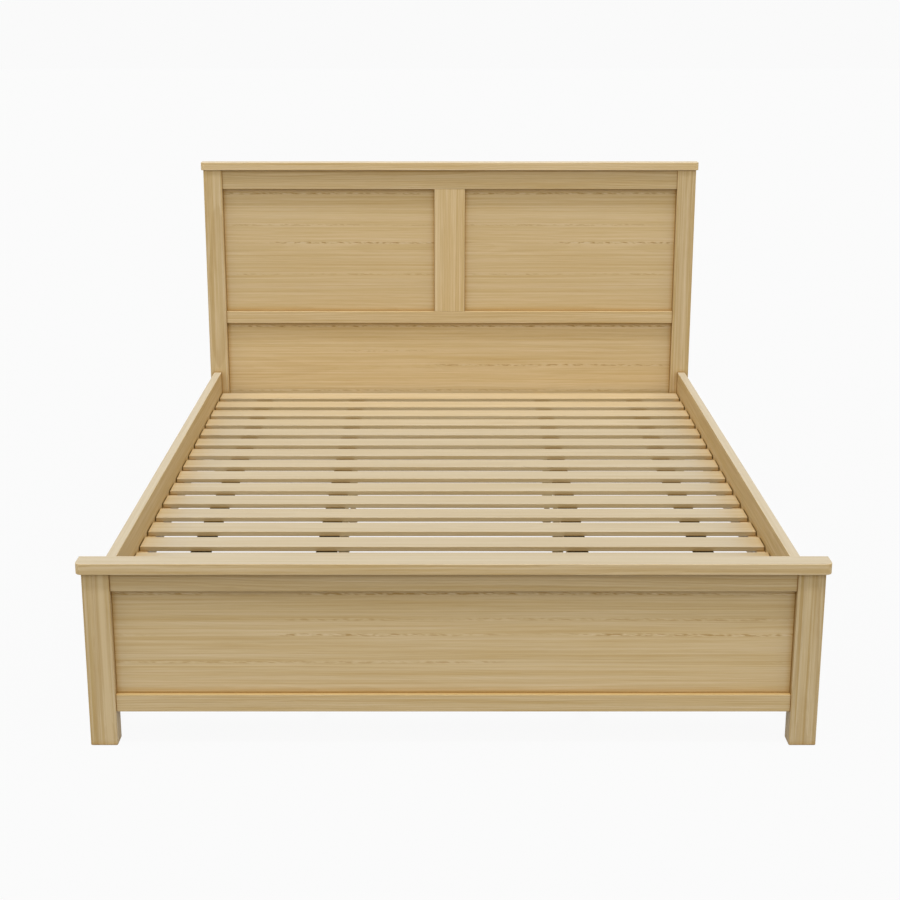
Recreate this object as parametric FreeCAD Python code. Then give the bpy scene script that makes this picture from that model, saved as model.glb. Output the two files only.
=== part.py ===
import FreeCAD, Part
import os
from FreeCAD import Vector

# A queen-size panel bed in pine. Millimetres, +Z up, +X to the right seen from the foot end,
# +Y from the footboard to the headboard. Lengthwise places are stations: distances behind the
# front faces of the foot posts. The origin is on the floor, in the middle of the bed.

# ---- Driving dimensions -------------------------------------------------------------------

# Mattress well
inner_width = 1540.0            # clear width between the side rails
rail_length = 2020.0            # clear length between the foot posts and the head posts

# Posts
post_width = 60.0
post_depth = 45.0
post_arris = 2.0                # radius of the long edges
post_foot_chamfer = 2.0         # bevel round the bottom end
footboard_height = 430.0        # floor to the top of the footboard cap
headboard_height = 1075.0       # floor to the top of the headboard cap

# Caps
cap_thickness = 25.0
foot_cap_side_overhang = 12.0   # past the outer faces of the posts
foot_cap_front_overhang = 8.0   # past the front faces of the posts
head_cap_side_overhang = 8.0
head_cap_front_overhang = 4.0
cap_corner_radius = 15.0        # of the front corners, seen from above
cap_edge_radius = 1.5
cap_tongue_thickness = 10.0     # tongue of the top rail in the groove of the cap
cap_tongue_height = 8.0

# Rails of the two boards
board_rail_thickness = 28.0
board_rail_setback = 4.0        # behind the front faces of the posts
board_rail_arris = 1.0
tenon_length = 20.0
tenon_thickness = 12.0
tenon_shoulder = 8.0            # above and below a tenon
mortise_end_clearance = 0.5
foot_top_rail_height = 42.0
foot_bottom_rail_height = 40.0
foot_bottom_rail_from_floor = 80.0
head_top_rail_height = 62.0
head_middle_rail_height = 40.0
head_middle_rail_from_floor = 541.0
head_bottom_rail_height = 40.0
stile_width = 100.0

# Panels
panel_thickness = 9.0
panel_recess = 13.0             # behind the front faces of the rails
panel_groove_depth = 8.0
panel_edge_clearance = 0.5
panel_face_clearance = 0.1

# Side rails
side_rail_thickness = 24.0
side_rail_height = 168.0
side_rail_top = 373.0           # floor to the top edge
side_rail_inset = 12.0          # behind the outer faces of the posts
side_rail_arris = 1.5

# Cleats under the slat ends
cleat_width = 22.0
cleat_height = 25.0
cleat_end_gap = 5.0             # to the posts
cleat_arris = 1.0
cleat_screw_count = 6
cleat_screw_margin = 90.0       # from the cleat's ends to the outer screws

# Slats
slat_count = 17
slat_width = 75.0
slat_thickness = 12.0
slat_pitch = 116.0
slat_top = 301.5                # floor to the face that carries the mattress
slat_end_gap = 2.5              # to the side rails
slat_head_gap = 5.0             # from the first slat to the head posts
slat_arris = 1.0

# Webbing straps under the slats
strap_width = 52.0
strap_thickness = 1.5
inner_strap_offset = 309.0      # from the middle of the bed
outer_strap_offset = 617.0
strap_end_margin = 6.0          # inside the edges of the end slats

# Cross battens, centre beams, legs and levelling feet
batten_thickness = 17.0
batten_height = 40.0
beam_offset = 305.0             # from the middle of the bed
beam_width = 30.0
beam_height = 40.0
beam_strap_gap = 0.3
beam_lap_height = 20.0          # wood left above the batten
beam_end_gap = 1.0
beam_arris = 1.0
leg_width = 30.0
leg_arris = 1.0
leg_from_floor = 55.0
leg_spacing = 497.0
middle_leg_station = 1093.0
leg_peg_radius = 9.0
leg_peg_length = 15.0
leg_peg_clearance = 0.1

foot_stem_radius = 9.0
foot_stem_engagement = 40.0     # length of stem inside the leg
foot_pad_radius = 16.0
foot_pad_height = 8.0
foot_pad_edge_radius = 1.5
foot_screw_in_travel = 30.0
foot_running_clearance = 0.05
bush_wall = 2.0
bush_length = 30.0
bush_flange_radius = 14.0
bush_flange_thickness = 2.0
bush_fit_clearance = 0.05

# Hook-on bed rail plates
plate_width = 16.0
plate_height = 130.0
plate_thickness = 2.5
hook_thickness = 3.0
hook_height = 15.0
hook_lip_length = 10.0
hook_lip_depth = 5.0
hook_side_clearance = 0.3
hook_lift_clearance = 1.0
hook_pocket_clearance = 3.0
upper_hook_offset = 20.0        # hook's underside above the middle of the plate
lower_hook_offset = -45.0
plate_screw_offsets = (-4.0, 57.0)

# Countersunk wood screws
screw_length = 40.0
screw_radius = 2.0
screw_head_radius = 3.8
screw_head_height = 2.2
screw_point_length = 4.0
screw_hole_clearance = 0.05

# ---- Places worked out from them ----------------------------------------------------------

rail_inner_x = inner_width / 2
rail_outer_x = rail_inner_x + side_rail_thickness
rail_middle_x = (rail_inner_x + rail_outer_x) / 2
post_outer_x = rail_outer_x + side_rail_inset
post_inner_x = post_outer_x - post_width

foot_post_back = post_depth
head_post_front = post_depth + rail_length
head_post_back = head_post_front + post_depth
rail_middle_station = (foot_post_back + head_post_front) / 2
bed_middle_station = (head_post_back - foot_cap_front_overhang) / 2

foot_post_top = footboard_height - cap_thickness
head_post_top = headboard_height - cap_thickness
foot_top_rail_z = (foot_post_top - foot_top_rail_height, foot_post_top)
foot_bottom_rail_z = (foot_bottom_rail_from_floor,
                      foot_bottom_rail_from_floor + foot_bottom_rail_height)
head_top_rail_z = (head_post_top - head_top_rail_height, head_post_top)
head_middle_rail_z = (head_middle_rail_from_floor,
                      head_middle_rail_from_floor + head_middle_rail_height)
side_rail_bottom = side_rail_top - side_rail_height
head_bottom_rail_z = (side_rail_bottom - head_bottom_rail_height, side_rail_bottom)

slat_bottom = slat_top - slat_thickness
slat_half_length = rail_inner_x - slat_end_gap
first_slat_back = head_post_front - slat_head_gap
beam_top = slat_bottom - strap_thickness - beam_strap_gap
beam_bottom = beam_top - beam_height
batten_top = beam_top - beam_lap_height
leg_stations = {
    "foot_end": middle_leg_station - leg_spacing,
    "middle": middle_leg_station,
    "head_end": middle_leg_station + leg_spacing,
}
plate_middle_z = side_rail_top - side_rail_height / 2
bush_radius = foot_stem_radius + bush_wall


# ---- Building blocks ----------------------------------------------------------------------

def block(x, station, z):
    """A box between two values of X, of the station and of Z."""
    corner = Vector(x[0], station[0] - bed_middle_station, z[0])
    return Part.makeBox(x[1] - x[0], station[1] - station[0], z[1] - z[0], corner)


def eased(shape, radius):
    """The shape with all its edges rounded over."""
    return shape.makeFillet(radius, shape.Edges)


def grown(span, amount):
    """A span made longer at both ends."""
    return (span[0] - amount, span[1] + amount)


def about(middle, width):
    """A span of a width about its middle."""
    return (middle - width / 2, middle + width / 2)


def other_side(shape):
    """The same piece for the left side, -X."""
    return shape.mirror(Vector(0, 0, 0), Vector(1, 0, 0))


def other_end(shape):
    """The same piece for the head end of the side rails."""
    plane = Vector(0, rail_middle_station - bed_middle_station, 0)
    return shape.mirror(plane, Vector(0, 1, 0))


def upright(radius, x, station, z):
    """A vertical cylinder between two values of Z."""
    base = Vector(x, station - bed_middle_station, z[0])
    return Part.makeCylinder(radius, z[1] - z[0], base)


def rounded_outline(x, station, z, radius):
    """A closed rectangle with round corners, level at a height."""
    y = (station[0] - bed_middle_station, station[1] - bed_middle_station)
    reach = radius * 2 ** -0.5
    corners = [(x[1], y[0], 1, -1), (x[1], y[1], 1, 1), (x[0], y[1], -1, 1), (x[0], y[0], -1, -1)]
    arcs = []
    for index, (cx, cy, sx, sy) in enumerate(corners):
        middle = Vector(cx - sx * (radius - reach), cy - sy * (radius - reach), z)
        on_x_face = Vector(cx, cy - sy * radius, z)
        on_y_face = Vector(cx - sx * radius, cy, z)
        ends = (on_y_face, on_x_face) if index % 2 == 0 else (on_x_face, on_y_face)
        arcs.append((ends[0], middle, ends[1]))
    edges = []
    for index, (start, middle, end) in enumerate(arcs):
        edges.append(Part.Arc(start, middle, end).toShape())
        edges.append(Part.LineSegment(end, arcs[(index + 1) % 4][0]).toShape())
    return Part.Wire(edges)


# ---- Wood screws --------------------------------------------------------------------------

def screw_form(clearance):
    """A countersunk screw along +Z, its head's face at the origin."""
    head = Part.makeCone(screw_head_radius + clearance, screw_radius + clearance, screw_head_height)
    point_start = screw_length - screw_point_length
    shank = Part.makeCylinder(screw_radius + clearance, point_start, Vector(0, 0, 0))
    point = Part.makeCone(screw_radius + clearance, clearance + screw_radius / 4,
                          screw_point_length + clearance, Vector(0, 0, point_start))
    return head.fuse([shank, point]).removeSplitter()


def placed_screw(place, clearance=0.0):
    """A screw, or its hole, at an entry point and along a direction."""
    entry, direction = place
    shape = screw_form(clearance)
    turn = FreeCAD.Rotation(Vector(0, 0, 1), direction)
    shape.Placement = FreeCAD.Placement(entry, turn)
    return shape


def mirrored_place(place):
    """The place of the same screw on the left side."""
    entry, direction = place
    return (Vector(-entry.x, entry.y, entry.z), Vector(-direction.x, direction.y, direction.z))


def other_end_place(place):
    """The place of the same screw at the head end."""
    entry, direction = place
    middle = rail_middle_station - bed_middle_station
    return (Vector(entry.x, 2 * middle - entry.y, entry.z),
            Vector(direction.x, -direction.y, direction.z))


def cleat_screw_places():
    """Screws through the right cleat into its side rail."""
    first = foot_post_back + cleat_end_gap + cleat_screw_margin
    last = head_post_front - cleat_end_gap - cleat_screw_margin
    step = (last - first) / (cleat_screw_count - 1)
    z = slat_bottom - cleat_height / 2
    places = []
    for index in range(cleat_screw_count):
        y = first + index * step - bed_middle_station
        places.append((Vector(rail_inner_x - cleat_width, y, z), Vector(1, 0, 0)))
    return places


def hook_plate_screw_places():
    """Screws through the hook plate into the foot end of the right side rail."""
    y = foot_post_back - bed_middle_station
    return [(Vector(rail_middle_x, y, plate_middle_z + offset), Vector(0, 1, 0))
            for offset in plate_screw_offsets]


def slot_plate_screw_places():
    """Screws through the slot plate into the right foot post."""
    y = foot_post_back - bed_middle_station
    return [(Vector(rail_middle_x, y, plate_middle_z + offset), Vector(0, -1, 0))
            for offset in plate_screw_offsets]


def beam_screw_places():
    """The screw through the lap at the foot end of the right beam into the batten."""
    y = foot_post_back - batten_thickness / 2 - bed_middle_station
    return [(Vector(beam_offset, y, beam_top), Vector(0, 0, -1))]


def without_screws(shape, places):
    """The shape with the holes of its screws."""
    return shape.cut([placed_screw(place, screw_hole_clearance) for place in places])


def wood_screws():
    """All the screws of the bed, as separate solids."""
    right = (cleat_screw_places() + hook_plate_screw_places() + slot_plate_screw_places()
             + beam_screw_places())
    right += [other_end_place(place) for place in
              hook_plate_screw_places() + slot_plate_screw_places() + beam_screw_places()]
    places = right + [mirrored_place(place) for place in right]
    return Part.makeCompound([placed_screw(place) for place in places])


# ---- Boards: posts, rails, stile, panels and caps -----------------------------------------

def board_rail_stations(front):
    """The thickness of a board's rails, behind the front of its posts."""
    start = front + board_rail_setback
    return (start, start + board_rail_thickness)


def panel_stations(front):
    """The thickness of a board's panels."""
    start = front + board_rail_setback + panel_recess
    return (start, start + panel_thickness)


def tenon_stations(front):
    """The thickness of the tenons, in the middle of the rails."""
    rail = board_rail_stations(front)
    return about((rail[0] + rail[1]) / 2, tenon_thickness)


def board_rail(front, z):
    """A rail between two posts, with a tenon at each end."""
    body = block((-post_inner_x, post_inner_x), board_rail_stations(front), z)
    edges = [edge for edge in body.Edges if edge.BoundBox.XLength > post_inner_x]
    body = body.makeFillet(board_rail_arris, edges)
    reach = post_inner_x + tenon_length
    tenon = block((-reach, reach), tenon_stations(front), grown(z, -tenon_shoulder))
    return body.fuse(tenon)


def rail_mortise(front, z):
    """The hole in a right-hand post for a rail's tenon."""
    depth = (post_inner_x, post_inner_x + tenon_length + mortise_end_clearance)
    return block(depth, tenon_stations(front), grown(z, -tenon_shoulder))


def panel_groove(x, front, z):
    """The room of a panel: its opening with the groove's depth all round."""
    return block(grown(x, panel_groove_depth), panel_stations(front), grown(z, panel_groove_depth))


def panel(x, front, z):
    """A flat panel that floats in its grooves."""
    reach = panel_groove_depth - panel_edge_clearance
    faces = grown(panel_stations(front), -panel_face_clearance)
    return block(grown(x, reach), faces, grown(z, reach))


def batten_stations():
    """The thickness of the foot end's cross batten, flush with the posts' back faces."""
    return (foot_post_back - batten_thickness, foot_post_back)


def batten_tenon(extra):
    """The tenon of the foot end's batten in both posts, or with extra length its mortise."""
    reach = post_inner_x + tenon_length + extra
    stations = about(foot_post_back - batten_thickness / 2, batten_thickness / 2)
    z = (batten_top - batten_height + tenon_shoulder, batten_top - tenon_shoulder)
    return block((-reach, reach), stations, z)


def plain_post(front, top):
    """A right-hand post with eased long edges and a bevelled foot."""
    x = (post_inner_x, post_outer_x)
    stations = (front, front + post_depth)
    upper = Part.Face(rounded_outline(x, stations, post_foot_chamfer, post_arris))
    shaft = upper.extrude(Vector(0, 0, top - post_foot_chamfer))
    bevel = Part.makeLoft([
        rounded_outline(grown(x, -post_foot_chamfer), grown(stations, -post_foot_chamfer),
                        0.0, post_arris / 2),
        rounded_outline(x, stations, post_foot_chamfer, post_arris),
    ], True, True)
    return shaft.fuse(bevel).removeSplitter()


def hook_heights():
    """The undersides of the two hooks."""
    return [plate_middle_z + upper_hook_offset, plate_middle_z + lower_hook_offset]


def slot_heights(hook_z):
    """The slot of one hook, tall enough to drop the hook's lip through."""
    return (hook_z, hook_z + hook_lip_length + hook_height + hook_lift_clearance)


def plate_room():
    """The slot plate's recess in the right foot post, with the pockets of the hooks."""
    stations = (foot_post_back - plate_thickness, foot_post_back)
    recess = block(about(rail_middle_x, plate_width), stations,
                   about(plate_middle_z, plate_height))
    pockets = []
    for hook_z in hook_heights():
        slot = slot_heights(hook_z)
        depth = plate_thickness + hook_lip_depth + hook_pocket_clearance
        pockets.append(block(
            about(rail_middle_x, hook_thickness + 2 * hook_pocket_clearance),
            (foot_post_back - depth, foot_post_back),
            (slot[0] - hook_lip_length - hook_pocket_clearance, slot[1])))
    return recess.fuse(pockets)


def foot_post():
    """The right foot post."""
    post = plain_post(0.0, foot_post_top)
    rooms = [
        rail_mortise(0.0, foot_top_rail_z),
        rail_mortise(0.0, foot_bottom_rail_z),
        panel_groove((-post_inner_x, post_inner_x), 0.0,
                     (foot_bottom_rail_z[1], foot_top_rail_z[0])),
        batten_tenon(mortise_end_clearance),
        plate_room(),
    ]
    return without_screws(post.cut(rooms), slot_plate_screw_places())


def head_post():
    """The right head post."""
    post = plain_post(head_post_front, head_post_top)
    rooms = [
        rail_mortise(head_post_front, head_top_rail_z),
        rail_mortise(head_post_front, head_middle_rail_z),
        rail_mortise(head_post_front, head_bottom_rail_z),
        panel_groove((-post_inner_x, post_inner_x), head_post_front,
                     (head_middle_rail_z[1], head_top_rail_z[0])),
        panel_groove((-post_inner_x, post_inner_x), head_post_front,
                     (head_bottom_rail_z[1], head_middle_rail_z[0])),
        other_end(batten_tenon(mortise_end_clearance)),
        other_end(plate_room()),
    ]
    screws = [other_end_place(place) for place in slot_plate_screw_places()]
    return without_screws(post.cut(rooms), screws)


def cap_tongue(front, top):
    """The tongue on a top rail that keys it to its cap."""
    rail = board_rail_stations(front)
    stations = about((rail[0] + rail[1]) / 2, cap_tongue_thickness)
    return block((-post_inner_x, post_inner_x), stations, (top, top + cap_tongue_height))


def cap(front, top, front_overhang, side_overhang):
    """A cap over a board's posts and top rail, flush with the backs of the posts."""
    reach = post_outer_x + side_overhang
    body = block((-reach, reach), (front - front_overhang, front + post_depth),
                 (top, top + cap_thickness))
    middle_y = body.BoundBox.Center.y
    front_corners = [edge for edge in body.Edges if edge.BoundBox.ZLength > cap_thickness / 2
                     and edge.BoundBox.YMax < middle_y]
    body = body.makeFillet(cap_corner_radius, front_corners)
    sharp = [edge for edge in body.Edges if edge.BoundBox.ZLength < cap_thickness / 2
             or edge.BoundBox.YMin > middle_y]
    return body.makeFillet(cap_edge_radius, sharp).cut(cap_tongue(front, top))


def footboard_parts():
    """The footboard: rails, panel and cap."""
    opening = ((-post_inner_x, post_inner_x), 0.0, (foot_bottom_rail_z[1], foot_top_rail_z[0]))
    groove = panel_groove(*opening)
    top_rail = board_rail(0.0, foot_top_rail_z).fuse(cap_tongue(0.0, foot_post_top))
    return {
        "footboard_cap": cap(0.0, foot_post_top, foot_cap_front_overhang, foot_cap_side_overhang),
        "footboard_top_rail": top_rail.cut(groove),
        "footboard_bottom_rail": board_rail(0.0, foot_bottom_rail_z).cut(groove),
        "footboard_panel": panel(*opening),
    }


def centre_stile_tenon(extra):
    """The tenons of the headboard's stile, or with extra length their mortises."""
    z = (head_middle_rail_z[1] - tenon_length - extra, head_top_rail_z[0] + tenon_length + extra)
    x = about(0.0, stile_width - 4 * tenon_shoulder)
    return block(x, tenon_stations(head_post_front), z)


def headboard_parts():
    """The headboard: rails, stile, panels and cap."""
    front = head_post_front
    upper_z = (head_middle_rail_z[1], head_top_rail_z[0])
    right = ((stile_width / 2, post_inner_x), front, upper_z)
    left = ((-post_inner_x, -stile_width / 2), front, upper_z)
    lower = ((-post_inner_x, post_inner_x), front, (head_bottom_rail_z[1], head_middle_rail_z[0]))
    grooves = [panel_groove(*opening) for opening in (right, left, lower)]
    stile = block(about(0.0, stile_width), board_rail_stations(front), upper_z)
    edges = [edge for edge in stile.Edges if edge.BoundBox.ZLength > stile_width]
    stile = stile.makeFillet(board_rail_arris, edges).fuse(centre_stile_tenon(0.0))
    stile_room = centre_stile_tenon(mortise_end_clearance)
    top_rail = board_rail(front, head_top_rail_z).fuse(cap_tongue(front, head_post_top))
    return {
        "headboard_cap": cap(front, head_post_top, head_cap_front_overhang, head_cap_side_overhang),
        "headboard_top_rail": top_rail.cut(grooves + [stile_room]),
        "headboard_middle_rail": board_rail(front, head_middle_rail_z).cut(grooves + [stile_room]),
        "headboard_bottom_rail": board_rail(front, head_bottom_rail_z).cut(grooves),
        "headboard_centre_stile": stile.cut(grooves),
        "headboard_upper_panel_right": panel(*right),
        "headboard_upper_panel_left": panel(*left),
        "headboard_lower_panel": panel(*lower),
    }


# ---- Side rails, their plates and their cleats --------------------------------------------

def hook_plate():
    """The hook plate let into the foot end of the right side rail."""
    z = about(plate_middle_z, plate_height)
    plate = block(about(rail_middle_x, plate_width),
                  (foot_post_back, foot_post_back + plate_thickness), z)
    behind_slot = foot_post_back - plate_thickness - hook_side_clearance
    x = about(rail_middle_x, hook_thickness)
    hooks = []
    for hook_z in hook_heights():
        hooks.append(block(x, (behind_slot - hook_lip_depth, foot_post_back),
                           (hook_z, hook_z + hook_height)))
        hooks.append(block(x, (behind_slot - hook_lip_depth, behind_slot),
                           (hook_z - hook_lip_length, hook_z)))
    plate = plate.fuse(hooks).removeSplitter()
    return without_screws(plate, hook_plate_screw_places())


def slot_plate():
    """The slot plate let into the right foot post."""
    stations = (foot_post_back - plate_thickness, foot_post_back)
    plate = block(about(rail_middle_x, plate_width), stations,
                  about(plate_middle_z, plate_height))
    slots = [block(about(rail_middle_x, hook_thickness + 2 * hook_side_clearance), stations,
                   slot_heights(hook_z)) for hook_z in hook_heights()]
    return without_screws(plate.cut(slots), slot_plate_screw_places())


def four_corners(shape):
    """One right-hand foot-end piece at all four corners of the bed."""
    right = [shape, other_end(shape)]
    return Part.makeCompound(right + [other_side(piece) for piece in right])


def side_rail():
    """The right side rail."""
    body = block((rail_inner_x, rail_outer_x), (foot_post_back, head_post_front),
                 (side_rail_bottom, side_rail_top))
    edges = [edge for edge in body.Edges if edge.BoundBox.YLength > post_depth]
    body = body.makeFillet(side_rail_arris, edges)
    recess = block(about(rail_middle_x, plate_width),
                   (foot_post_back, foot_post_back + plate_thickness),
                   about(plate_middle_z, plate_height))
    end_screws = hook_plate_screw_places()
    end_screws += [other_end_place(place) for place in end_screws]
    return without_screws(body.cut([recess, other_end(recess)]),
                          end_screws + cleat_screw_places())


def cleat():
    """The right cleat, which carries the slat ends."""
    body = block((rail_inner_x - cleat_width, rail_inner_x),
                 (foot_post_back + cleat_end_gap, head_post_front - cleat_end_gap),
                 (slat_bottom - cleat_height, slat_bottom))
    return without_screws(eased(body, cleat_arris), cleat_screw_places())


# ---- Slats and straps ---------------------------------------------------------------------

def slat(index):
    """A slat, counted from the head end."""
    back = first_slat_back - index * slat_pitch
    body = block((-slat_half_length, slat_half_length), (back - slat_width, back),
                 (slat_bottom, slat_top))
    return eased(body, slat_arris)


def strap(offset):
    """A strap under all the slats."""
    last_front = first_slat_back - (slat_count - 1) * slat_pitch - slat_width
    return block(about(offset, strap_width),
                 (last_front + strap_end_margin, first_slat_back - strap_end_margin),
                 (slat_bottom - strap_thickness, slat_bottom))


# ---- Centre supports ----------------------------------------------------------------------

def batten():
    """The foot end's cross batten, tenoned into both posts."""
    body = block((-post_inner_x, post_inner_x), batten_stations(),
                 (batten_top - batten_height, batten_top))
    screws = beam_screw_places()
    screws += [mirrored_place(place) for place in screws]
    return without_screws(body.fuse(batten_tenon(0.0)), screws)


def beam():
    """The right centre beam, lapped onto the battens."""
    start = foot_post_back - batten_thickness + beam_end_gap
    end = 2 * rail_middle_station - start
    body = eased(block(about(beam_offset, beam_width), (start, end), (beam_bottom, beam_top)),
                 beam_arris)
    notch = block(about(beam_offset, 2 * beam_width), (start, foot_post_back + beam_end_gap),
                  (beam_bottom, batten_top))
    pegs = [upright(leg_peg_radius + leg_peg_clearance, beam_offset, station,
                    (beam_bottom, beam_bottom + leg_peg_length + mortise_end_clearance))
            for station in leg_stations.values()]
    screws = beam_screw_places()
    screws += [other_end_place(place) for place in screws]
    return without_screws(body.cut([notch, other_end(notch)] + pegs), screws)


def leg(station):
    """A right-hand centre leg with a peg on top and a bored foot."""
    body = eased(block(about(beam_offset, leg_width), about(station, leg_width),
                       (leg_from_floor, beam_bottom)), leg_arris)
    peg = upright(leg_peg_radius, beam_offset, station,
                  (beam_bottom - leg_arris, beam_bottom + leg_peg_length))
    bush_room = upright(bush_radius + bush_fit_clearance, beam_offset, station,
                        (leg_from_floor, leg_from_floor + bush_length))
    flange_room = upright(bush_flange_radius + bush_fit_clearance, beam_offset, station,
                          (leg_from_floor, leg_from_floor + bush_flange_thickness))
    bore_top = leg_from_floor + foot_stem_engagement + foot_screw_in_travel + bush_fit_clearance
    stem_room = upright(bush_radius, beam_offset, station, (leg_from_floor, bore_top + bush_wall))
    return body.fuse(peg).cut([bush_room, flange_room, stem_room])


def bush(station):
    """The threaded bush in the foot of a right-hand centre leg."""
    sleeve = upright(bush_radius, beam_offset, station,
                     (leg_from_floor, leg_from_floor + bush_length))
    flange = upright(bush_flange_radius, beam_offset, station,
                     (leg_from_floor, leg_from_floor + bush_flange_thickness))
    bore = upright(foot_stem_radius + foot_running_clearance, beam_offset, station,
                   (leg_from_floor, leg_from_floor + bush_length))
    return sleeve.fuse(flange).removeSplitter().cut(bore)


def levelling_foot(station):
    """The screw-in foot of a right-hand centre leg, standing on the floor."""
    pad = upright(foot_pad_radius, beam_offset, station, (0.0, foot_pad_height))
    rims = [edge for edge in pad.Edges if edge.BoundBox.ZLength < foot_pad_edge_radius]
    pad = pad.makeFillet(foot_pad_edge_radius, rims)
    stem = upright(foot_stem_radius, beam_offset, station,
                   (foot_pad_height, leg_from_floor + foot_stem_engagement))
    return pad.fuse(stem)


# ---- The whole bed ------------------------------------------------------------------------

def all_parts():
    """Every sub-part by its name."""
    parts = {}
    for name, shape in (("footboard_post", foot_post()), ("headboard_post", head_post()),
                        ("side_rail", side_rail()), ("cleat", cleat()),
                        ("centre_beam", beam())):
        parts[name + "_right"] = shape
        parts[name + "_left"] = other_side(shape)
    parts.update(footboard_parts())
    parts.update(headboard_parts())
    for index in range(slat_count):
        parts["slat_%02d" % (index + 1)] = slat(index)
    parts["strap_inner_right"] = strap(inner_strap_offset)
    parts["strap_inner_left"] = strap(-inner_strap_offset)
    parts["strap_outer_right"] = strap(outer_strap_offset)
    parts["strap_outer_left"] = strap(-outer_strap_offset)
    for end, station in leg_stations.items():
        parts["centre_leg_right_" + end] = leg(station)
        parts["centre_leg_left_" + end] = other_side(leg(station))
        parts["levelling_foot_right_" + end] = levelling_foot(station)
        parts["levelling_foot_left_" + end] = other_side(levelling_foot(station))
    bushes = [bush(station) for station in leg_stations.values()]
    parts["leg_bushes"] = Part.makeCompound(bushes + [other_side(shape) for shape in bushes])
    parts["cross_battens"] = Part.makeCompound([batten(), other_end(batten())])
    parts["rail_hook_plates"] = four_corners(hook_plate())
    parts["post_slot_plates"] = four_corners(slot_plate())
    parts["wood_screws"] = wood_screws()
    return parts


os.makedirs("parts", exist_ok=True)
for part_name, part_shape in all_parts().items():
    part_shape.exportStep("parts/" + part_name + ".step")
    print("%-32s %3d solid(s), %11.1f mm3, valid %s" % (
        part_name, len(part_shape.Solids), part_shape.Volume, part_shape.isValid()))
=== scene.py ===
"""The looks of a queen-size panel bed in pine. Metres, +Z up, +Y from the footboard to the headboard."""
import math
import random

import bmesh
import bpy
from mathutils import Matrix, Vector


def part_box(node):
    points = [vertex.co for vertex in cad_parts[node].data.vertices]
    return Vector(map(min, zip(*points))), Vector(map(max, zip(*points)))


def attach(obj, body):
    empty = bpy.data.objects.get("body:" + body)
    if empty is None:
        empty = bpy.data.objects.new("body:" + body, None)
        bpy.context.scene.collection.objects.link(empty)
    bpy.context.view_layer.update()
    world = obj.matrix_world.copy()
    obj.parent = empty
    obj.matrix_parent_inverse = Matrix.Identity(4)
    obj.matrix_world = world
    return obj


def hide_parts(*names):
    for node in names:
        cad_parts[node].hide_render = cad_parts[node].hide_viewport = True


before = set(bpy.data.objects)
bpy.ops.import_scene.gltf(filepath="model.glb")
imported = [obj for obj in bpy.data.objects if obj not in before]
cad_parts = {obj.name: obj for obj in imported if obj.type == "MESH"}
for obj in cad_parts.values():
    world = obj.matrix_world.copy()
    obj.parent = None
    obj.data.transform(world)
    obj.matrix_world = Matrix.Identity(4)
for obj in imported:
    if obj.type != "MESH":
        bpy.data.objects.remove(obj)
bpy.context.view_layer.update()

MM = 0.001

# ---- Camera and studio --------------------------------------------------------------------

CAMERA_PLACE = Vector((-24.9, -4400.5, 1629.0)) * MM
CAMERA_TILT_DOWN = 15.29            # degrees
FOCAL_LENGTH_PX = 1644.8            # in pixels of the 900-pixel frame
FRAME_PX = 900
PRINCIPAL_POINT_PX = (442.1, 436.3)
SENSOR_WIDTH = 36.0                 # millimetres

WHITE = (1.0, 1.0, 1.0, 1.0)
MATTE = 0.0                         # the specular level of the floor and the webbing
BACKDROP_WHITE = 0.956
SKY_HORIZON = 0.45
SKY_TINT = (1.02, 1.0, 0.95, 1.0)
# The lamps: name, level, degrees up from the floor, width in degrees, tint, and degrees turned from
# the foot end towards the bed's right side
LAMPS = (
    ("key_lamp", 0.83, 78.2, 6.5, (0.92, 0.98, 1.11), 0.0),
    ("fill_lamp", 0.30, 38.0, 70.0, (1.05, 1.0, 0.86), 0.0),
    ("side_lamp_right", 0.405, 35.0, 60.0, (1.05, 1.0, 0.80), 75.0),
    ("side_lamp_left", 0.405, 35.0, 60.0, (1.05, 1.0, 0.80), -75.0),
)
FLOOR_SIZE = 60.0
FLOOR_BOUNCE = (0.30, 0.30, 0.30, 1.0)
FLOOR_WHITE = (0.85, 0.85, 0.85, 1.0)
FLOOR_ROUGHNESS = 0.9
FLOOR_SHADOW_SHARE = 0.02           # how much of the floor's own shading the camera sees

# ---- Finishes -----------------------------------------------------------------------------

PALE_WOOD = (0.560, 0.445, 0.288, 1.0)
WARM_WOOD = (0.440, 0.311, 0.140, 1.0)
LATEWOOD = (0.350, 0.225, 0.082, 1.0)
SAPWOOD = (0.530, 0.415, 0.255, 1.0)
GLUE_LINE = (0.600, 0.480, 0.290, 1.0)
# Painted light on upward faces: a pale painted sheen for the tops
PAINTED_TOP_SHEEN = (0.370, 0.350, 0.300, 1.0)
# Painted shade for the upward faces of the rails, the ledges
PAINTED_LEDGE_SHADE = (0.380, 0.265, 0.110, 1.0)
# Painted shade in the corners between pieces, and a painted shadow line in each joint
PAINTED_CORNER_SHADE = (0.88, 0.76, 0.54, 1.0)
PAINTED_JOINT_SHADOW = (0.180, 0.080, 0.014, 1.0)
WEBBING_BLACK = (0.004, 0.0035, 0.0035, 1.0)
WEBBING_WORN = (0.012, 0.011, 0.010, 1.0)
ZINC = (0.60, 0.60, 0.58, 1.0)
ZINC_DULL = (0.42, 0.41, 0.39, 1.0)
NYLON_TAN = (0.235, 0.150, 0.075, 1.0)
NYLON_DARK = (0.175, 0.105, 0.050, 1.0)

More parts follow.
